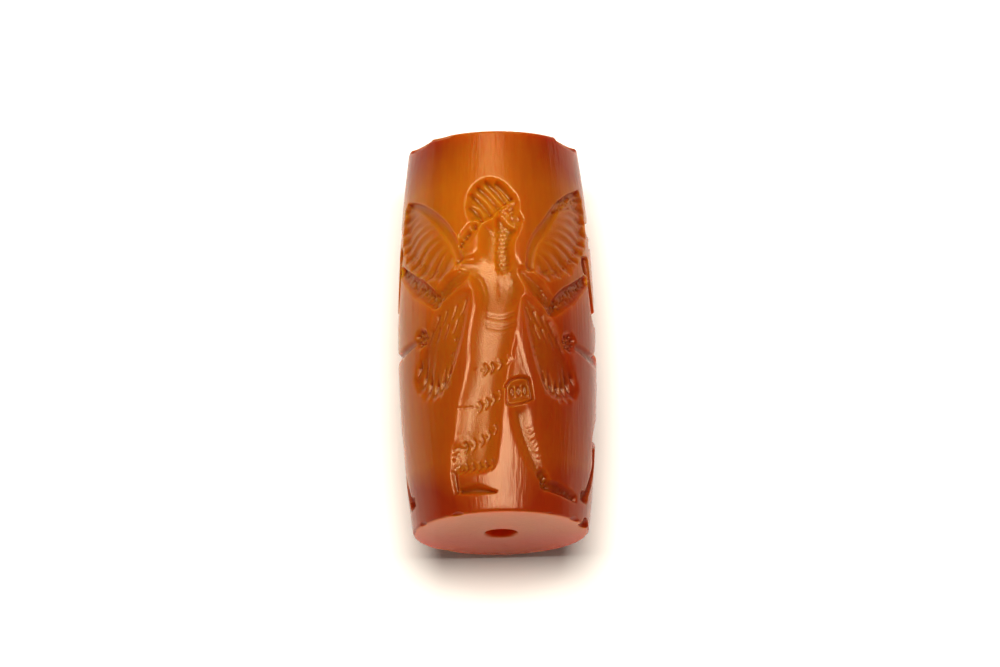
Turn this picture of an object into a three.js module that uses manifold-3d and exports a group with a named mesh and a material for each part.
// A barrel-shaped cylinder seal of translucent red-orange stone, bored from end to end for a cord.
// It lies on its side: the bore runs along Y, and the four-winged hero is on the upper side (+Z).
// Millimetres, +Z up, with the origin in the middle of the small flat that the seal rests on.
import * as THREE from "three";
import { mergeVertices } from "three/addons/utils/BufferGeometryUtils.js";
import Module from "manifold-3d";

// The stone
const LENGTH = 38;
const BELLY_DIAMETER = 19.1;
const UPPER_TAPER = 2.8;
const LOWER_TAPER = 2.2;
const BORE_DIAMETER = 3;
const RIM_ROUNDING = 0.35;
const REST_FLAT_DEPTH = 0.12;
const CHIP_SIZE = 2.4;

// The depths of the carving: bodies, limbs, feathers, and how much deeper the fine strokes go
const BODY_DEPTH = 0.85;
const LIMB_DEPTH = 0.6;
const FEATHER_DEPTH = 0.45;
const DETAIL_DEPTH = 0.22;

// A tool is widest a little above the stone, so that no sliver stays between neighbouring cuts.
const OVERCUT = 0.2;

// How finely the stone and the tools are faceted
const STONE_SIDES = 48;
const STONE_STEPS = 6;
const BORE_SIDES = 20;
const DRILL_SIDES = 8;
const WHEEL_SIDES = 6;

// A cut that goes right through runs past the stone by this share of it.
const THROUGH = 1.2;

// The engraver's grid. The frieze is laid out in squares, this many round the belly and along the stone.
const SQUARES_AROUND = 60;
const SQUARES_ALONG = 38;

// Half the width of a fine stroke, in squares
const STROKE = 0.18;

const wasm = await Module();
wasm.setup();

// The side of the stone is a flat curve from end to end. It is fullest a little below the middle, because the
// lower end tapers less.
const bellyRadius = BELLY_DIAMETER / 2;
const upperDrop = UPPER_TAPER / 2;
const lowerDrop = LOWER_TAPER / 2;
const upperShare = Math.sqrt(upperDrop) / (Math.sqrt(upperDrop) + Math.sqrt(lowerDrop));
const bellyY = LENGTH / 2 - LENGTH * upperShare;

function radiusAt(y) {
  const upper = y > bellyY;
  const reach = upper ? LENGTH / 2 - bellyY : LENGTH / 2 + bellyY;
  return bellyRadius - (upper ? upperDrop : lowerDrop) * ((y - bellyY) / reach) ** 2;
}

// A closed geometry as a solid that can be cut.
function solid(geometry) {
  const bare = geometry.clone();
  bare.deleteAttribute("normal");
  bare.deleteAttribute("uv");
  const merged = mergeVertices(bare);
  return new wasm.Manifold(
    new wasm.Mesh({
      numProp: 3,
      vertProperties: merged.attributes.position.array,
      triVerts: new Uint32Array(merged.index.array),
    }),
  );
}

function stoneBlank() {
  const profile = [new THREE.Vector2(0, -LENGTH / 2)];
  const rim = (end) => {
    const y = (end * LENGTH) / 2;
    const inset = y - end * RIM_ROUNDING;
    const softened = RIM_ROUNDING * (1 - Math.SQRT1_2);
    const rounding = [
      new THREE.Vector2(radiusAt(y) - RIM_ROUNDING, y),
      new THREE.Vector2(radiusAt(y) - softened, y - end * softened),
      new THREE.Vector2(radiusAt(inset), inset),
    ];
    return end < 0 ? rounding : rounding.reverse();
  };
  profile.push(...rim(-1));
  for (let i = 1; i < STONE_STEPS; i++) {
    const y = -LENGTH / 2 + (LENGTH * i) / STONE_STEPS;
    profile.push(new THREE.Vector2(radiusAt(y), y));
  }
  profile.push(...rim(1), new THREE.Vector2(0, LENGTH / 2));
  return solid(new THREE.LatheGeometry(profile, STONE_SIDES));
}

function bore() {
  const radius = BORE_DIAMETER / 2;
  return solid(new THREE.CylinderGeometry(radius, radius, LENGTH * THROUGH, BORE_SIDES));
}

function restFlat() {
  const slab = new THREE.BoxGeometry(BELLY_DIAMETER, LENGTH * THROUGH, bellyRadius);
  slab.translate(0, 0, REST_FLAT_DEPTH - bellyRadius - bellyRadius / 2);
  return solid(slab);
}

// Lays a tool on the stone from the flat sheet: squares across and along, and millimetres from its middle.
function onStone(geometry) {
  const p = geometry.attributes.position;
  for (let i = 0; i < p.count; i++) {
    const angle = (p.getX(i) / SQUARES_AROUND) * 2 * Math.PI;
    const y = (p.getY(i) / SQUARES_ALONG) * LENGTH;
    const r = radiusAt(y) + OVERCUT + p.getZ(i);
    p.setXYZ(i, r * Math.sin(angle), y, r * Math.cos(angle));
  }
  return solid(geometry);
}

// A round drill's hole: an ellipse in squares, cut to a depth in millimetres.
function drilled([x, y], [across, along], depth, { lean = 0, sides = DRILL_SIDES } = {}) {
  const tool = new THREE.SphereGeometry(1, sides, 4);
  tool.rotateX(Math.PI / 2);
  tool.scale(across, along, depth + OVERCUT);
  tool.rotateZ(lean);
  tool.translate(x, y, 0);
  return onStone(tool);
}

// A wheel's groove along a smooth line. The half-widths are at even steps, and the ends are round, square or
// pointed.
function groove(line, halfWidths, depth, { ends = "round", sides = WHEEL_SIDES } = {}) {
  const steps = line.length - 1;
  const path = new THREE.SplineCurve(points(line));
  const length = path.getLength();
  const widthAt = (u) => {
    const place = THREE.MathUtils.clamp(u, 0, 1) * (halfWidths.length - 1);
    const i = Math.min(Math.floor(place), halfWidths.length - 2);
    return THREE.MathUtils.lerp(halfWidths[i], halfWidths[i + 1], place - i);
  };
  const [first, last] = [widthAt(0), widthAt(1)];
  const profile = [[ends === "square" ? 0 : -first, 0]];
  if (ends === "round") profile.push([-first * Math.SQRT1_2, first * Math.SQRT1_2]);
  for (let i = 0; i <= steps; i++) profile.push([(length * i) / steps, widthAt(i / steps)]);
  if (ends === "round") profile.push([length + last * Math.SQRT1_2, last * Math.SQRT1_2]);
  profile.push([ends === "square" ? length : length + last, 0]);
  const tool = new THREE.LatheGeometry(profile.map(([s, w]) => new THREE.Vector2(w, s)), sides);
  const p = tool.attributes.position;
  for (let i = 0; i < p.count; i++) {
    const u = p.getY(i) / length;
    const along = path.getTangentAt(THREE.MathUtils.clamp(u, 0, 1));
    const at = path.getPointAt(THREE.MathUtils.clamp(u, 0, 1));
    const beyond = (u - THREE.MathUtils.clamp(u, 0, 1)) * length;
    const side = p.getX(i);
    p.setXYZ(
      i,
      at.x + along.x * beyond + along.y * side,
      at.y + along.y * beyond - along.x * side,
      (p.getZ(i) * (depth + OVERCUT)) / widthAt(u),
    );
  }
  return onStone(tool);
}

function points(line) {
  return line.map(([x, y]) => new THREE.Vector2(x, y));
}

// A straight stroke, V-shaped in section.
function nick(from, to, depth, halfWidth = STROKE) {
  return groove([from, to], [halfWidth, halfWidth], depth, { ends: "pointed", sides: 4 });
}

// A short even row of ticks, such as a fringe, hanging from a line.
function tickRow([x0, y0], [x1, y1], count, drop, depth) {
  const ticks = [];
  for (let i = 0; i < count; i++) {
    const u = i / (count - 1);
    const top = [x0 + (x1 - x0) * u, y0 + (y1 - y0) * u];
    ticks.push(nick(top, [top[0] - drop / 6, top[1] - drop], depth));
  }
  return ticks;
}

// Feathers fanned from a wing's root line to its tip line, bowed by the sweep.
function feathers(roots, tips, count, halfWidth, sweep) {
  const root = new THREE.SplineCurve(points(roots));
  const tip = new THREE.SplineCurve(points(tips));
  const made = [];
  for (let i = 0; i < count; i++) {
    const u = i / (count - 1);
    const from = root.getPoint(u);
    const to = tip.getPoint(u);
    const middle = [(from.x + to.x) / 2, (from.y + to.y) / 2 + sweep];
    const line = sweep ? [from.toArray(), middle, to.toArray()] : [from.toArray(), to.toArray()];
    const halfWidths = [halfWidth * 0.9, halfWidth, halfWidth * 0.6];
    made.push(groove(line, halfWidths, FEATHER_DEPTH, { ends: "pointed", sides: 4 }));
  }
  return made;
}

// The hero stands in profile towards +X with his arms spread, in a long fringed robe open over one leg.
function heroHead() {
  const cuts = [
    drilled([-0.3, 12], [2.75, 2.1], BODY_DEPTH, { lean: -0.25, sides: 12 }),
    drilled([1.2, 10.5], [1.35, 1.75], LIMB_DEPTH, { lean: 0.1 }),
    groove([[2.2, 10.9], [2.6, 10.2]], [0.25, 0.35], LIMB_DEPTH * 0.8),
    groove([[1.6, 9.3], [2.2, 9.1]], [0.5, 0.45], LIMB_DEPTH * 0.8),
    groove([[-1, 9.9], [-2.1, 9], [-3, 7.9]], [0.7, 0.8, 0.75], LIMB_DEPTH),
    groove([[-0.3, 9.6], [-0.4, 5.6]], [0.9, 1.6], LIMB_DEPTH * 0.8),
    groove([[1, 9.8], [1, 7.2], [0.9, 4.6]], [0.8, 0.75, 0.85], BODY_DEPTH, { ends: "square" }),
  ];
  for (let strand = 0; strand < 5; strand++) {
    const [x, y] = [-2.1 + strand * 0.75, 12.4 + strand * 0.35];
    cuts.push(nick([x, y], [x + 1, y - 1.8], BODY_DEPTH + DETAIL_DEPTH));
  }
  for (let curl = 0; curl < 4; curl++) {
    const y = 8.6 - curl * 1.1;
    cuts.push(nick([0.5, y], [1.5, y - 0.2], BODY_DEPTH + DETAIL_DEPTH));
  }
  return cuts;
}

function heroBody() {
  return [
    groove([[0, 5], [0.4, 2.6], [-0.15, 0.4], [-0.3, -1]], [3.3, 2.7, 2.15, 2.2], BODY_DEPTH * 0.9,
      { ends: "square", sides: DRILL_SIDES }),
    drilled([1.4, 3.2], [1.65, 1.9], BODY_DEPTH),
    ...[0.4, -0.2, -0.8].map((y) => nick([-0.8, y], [1.6, y - 0.1], BODY_DEPTH + DETAIL_DEPTH)),
  ];
}

function heroRobe() {
  const cuts = [
    groove([[-0.3, -0.9], [-0.7, -4], [-1.7, -8.4], [-2.4, -11.5], [-2.9, -15]], [2.15, 2, 2.2, 2.3, 2.4],
      BODY_DEPTH * 0.85, { ends: "square" }),
  ];
  const fringes = [
    [[-1.3, -4.9], [1, -4.1]],
    [[-3.4, -8.3], [0.3, -7.4]],
    [[-4.3, -11.8], [-0.4, -10.9]],
    [[-4.9, -14.2], [-0.9, -13.9]],
  ];
  for (const [from, to] of fringes) cuts.push(...tickRow(from, to, 6, 0.6, BODY_DEPTH + DETAIL_DEPTH));
  return cuts;
}

function heroLegs() {
  return [
    groove([[1.8, -1.8], [2.1, -6.3]], [0.3, 1.2], LIMB_DEPTH * 0.6, { ends: "square" }),
    groove([[2.1, -6.2], [2.3, -8.6]], [1.3, 1.35], LIMB_DEPTH, { ends: "square" }),
    ...[1.4, 2.2, 3].map((x) => nick([x, -6.9], [x + 0.05, -7.9], LIMB_DEPTH + DETAIL_DEPTH)),
    groove([[2.3, -8.8], [3, -11.8], [4.6, -15.3]], [1.25, 1.2, 0.6], LIMB_DEPTH),
    groove([[4.9, -15.9], [6.8, -16.4], [9, -16.9]], [0.6, 0.6, 0.45], LIMB_DEPTH * 0.8),
    groove([[-4.8, -15.1], [-4.9, -16.6]], [0.5, 0.45], LIMB_DEPTH * 0.8),
    groove([[-4.5, -17], [-0.9, -17.1]], [0.55, 0.4], LIMB_DEPTH * 0.8),
  ];
}

// The arm on side -1 is held a little higher than the other.
function heroArm(side) {
  const lift = side < 0 ? 0.9 : 0;
  return [
    groove([[side * 2.8, 4.5], [side * 5.7, 1.4 + lift]], [0.95, 0.75], LIMB_DEPTH),
    groove([[side * 6.1, 1.2 + lift], [side * 11.1, 4.9 + lift]], [0.75, 0.6], LIMB_DEPTH * 0.9),
    drilled([side * 11.4, 6.6 + lift], [1, 0.85], LIMB_DEPTH, { lean: side * 0.6 }),
  ];
}

// Two wings on each side: the upper one is raised, the lower one hangs.
function heroWings(side) {
  const drop = side < 0 ? 0.8 : 0;
  const mirrored = (line) => line.map(([x, y]) => [side * x, y]);
  return [
    groove(mirrored([[3.4, 6], [5, 9.2], [7.8, 12.2 - drop], [11.3, 13.9 - drop]]), [0.8, 0.8, 0.6, 0.3],
      FEATHER_DEPTH),
    ...feathers(
      mirrored([[7.8, 11.9 - drop], [5.6, 9.8 - drop / 2], [4.6, 7.6], [4.2, 5.4]]),
      mirrored([[11.9, 12.9 - drop], [12, 10.4 - drop / 2], [10.3, 7.4], [7.3, 4.4]]),
      8, 0.75, 0.35),
    ...feathers(
      mirrored([[2.9, 2.4], [4.3, 1.4], [5.9, 0.6]]),
      mirrored([[5.2, -7], [7.1, -7.2], [8.7, -6.2]]),
      6, 0.75, 0),
  ];
}

// A winged lion on each side rears up, a fore leg in the hero's fist. The one on side -1 stands further back.
function lion(side) {
  const shift = side < 0 ? 1.3 : 0;
  const lift = side < 0 ? 0.8 : 0;
  const at = (x, y) => [side * (x + shift), y];
  const line = (list) => list.map(([x, y]) => at(x, y));
  const cuts = [
    drilled(at(16.7, -7.3), [2.3, 2.6], BODY_DEPTH),
    groove(line([[17, -6.3], [16.7, -1.5], [16.2, 3]]), [2, 1.8, 2.6], BODY_DEPTH * 0.9),
    groove(line([[16.3, 4.4], [16.6, 9]]), [2.3, 1.9], BODY_DEPTH * 0.8),
    drilled(at(15.9, 10.7), [1.9, 1.6], BODY_DEPTH),
    groove(line([[14.9, 10.9], [13.2, 10.6]]), [0.8, 0.7], LIMB_DEPTH),
    nick(at(15, 9.7), at(13.7, 9.2), LIMB_DEPTH, 0.4),
    nick(at(16.9, 11.8), at(17.4, 12.7), LIMB_DEPTH, 0.5),
    groove(line([[15.9, 3.2], [13.5, 1.6 + lift], [12.2, 5.6 + lift]]), [0.8, 0.65, 0.45], LIMB_DEPTH),
    groove(line([[15.6, 0.6], [13.2, -2.5 + lift], [9, -2.3 + lift]]), [0.85, 0.6, 0.45], LIMB_DEPTH),
    drilled(at(7.6, -1.9 + lift), [0.8, 0.8], LIMB_DEPTH),
    groove(line([[16, -8.4], [13.4, -10.6], [13.7, -13], [11.8, -15.9]]), [1.2, 0.85, 0.6, 0.45], LIMB_DEPTH),
    groove(line([[17.4, -8.6], [18.4, -12.2], [16.9, -15.9]]), [1.3, 0.75, 0.5], LIMB_DEPTH),
    groove(line([[18.2, -8], [21.2, -9.4], [23.3, -6.6], [22.4, -3.6]]), [0.45, 0.35, 0.5], LIMB_DEPTH * 0.8),
    groove(line([[17.4, 3], [18.8, 7], [21.2, 10.4], [24.8, 12.4]]), [0.8, 0.8, 0.6, 0.3], FEATHER_DEPTH),
    ...feathers(
      line([[21.2, 9.9], [19.6, 7.4], [18.7, 4.8], [18.3, 2.4]]),
      line([[25.4, 11.2], [25.8, 8.6], [24.8, 5.4], [22.2, 1.8]]),
      7, 0.85, 0),
  ];
  for (const heel of [11.3, 16.4]) {
    for (const toe of [-0.6, 0, 0.6]) {
      cuts.push(nick(at(heel + toe, -16.1), at(heel + toe, -16.7), LIMB_DEPTH, 0.3));
    }
  }
  for (let lock = 0; lock < 4; lock++) {
    const y = 4.6 + lock * 1.35;
    cuts.push(nick(at(15, y), at(17.9, y + 0.6), BODY_DEPTH + DETAIL_DEPTH));
  }
  return cuts;
}

// Old chips in both rims: each has its turn from the top in degrees, its end, and its reach round the rim,
// along and inwards as shares of the largest.
function chips() {
  const bites = [
    [-62, 1, 0.92, 0.31, 0.29],
    [-38, 1, 0.54, 0.15, 0.17],
    [-16, 1, 0.38, 0.08, 0.12],
    [22, 1, 0.42, 0.08, 0.12],
    [64, 1, 1, 0.33, 0.33],
    [150, 1, 0.67, 0.21, 0.21],
    [74, -1, 0.42, 0.31, 0.29],
    [58, -1, 0.33, 0.12, 0.17],
    [-140, -1, 0.58, 0.17, 0.17],
  ];
  return bites.map(([turn, end, ...reach]) => {
    const y = (end * LENGTH) / 2;
    const bite = new THREE.SphereGeometry(CHIP_SIZE, 7, 5);
    bite.scale(...reach);
    bite.translate(0, y, radiusAt(y));
    bite.rotateY(THREE.MathUtils.degToRad(turn));
    return solid(bite);
  });
}

function carnelian() {
  return new THREE.MeshStandardMaterial({ color: 0xb5521a, roughness: 0.28, metalness: 0 });
}

function sealStone() {
  const cuts = [
    bore(),
    restFlat(),
    ...heroHead(),
    ...heroBody(),
    ...heroRobe(),
    ...heroLegs(),
    ...[-1, 1].flatMap((side) => [...heroArm(side), ...heroWings(side), ...lion(side)]),
    ...chips(),
  ];
  const carved = cuts.reduce((stone, cut) => stone.subtract(cut), stoneBlank());
  const { vertProperties, triVerts } = carved.getMesh();
  const geometry = new THREE.BufferGeometry();
  geometry.setAttribute("position", new THREE.BufferAttribute(vertProperties, 3));
  geometry.setIndex(new THREE.BufferAttribute(triVerts, 1));
  geometry.computeVertexNormals();
  const mesh = new THREE.Mesh(geometry, carnelian());
  mesh.name = "cylinder_seal";
  mesh.position.z = bellyRadius - REST_FLAT_DEPTH;
  return mesh;
}

const seal = new THREE.Group();
seal.add(sealStone());

export default seal;
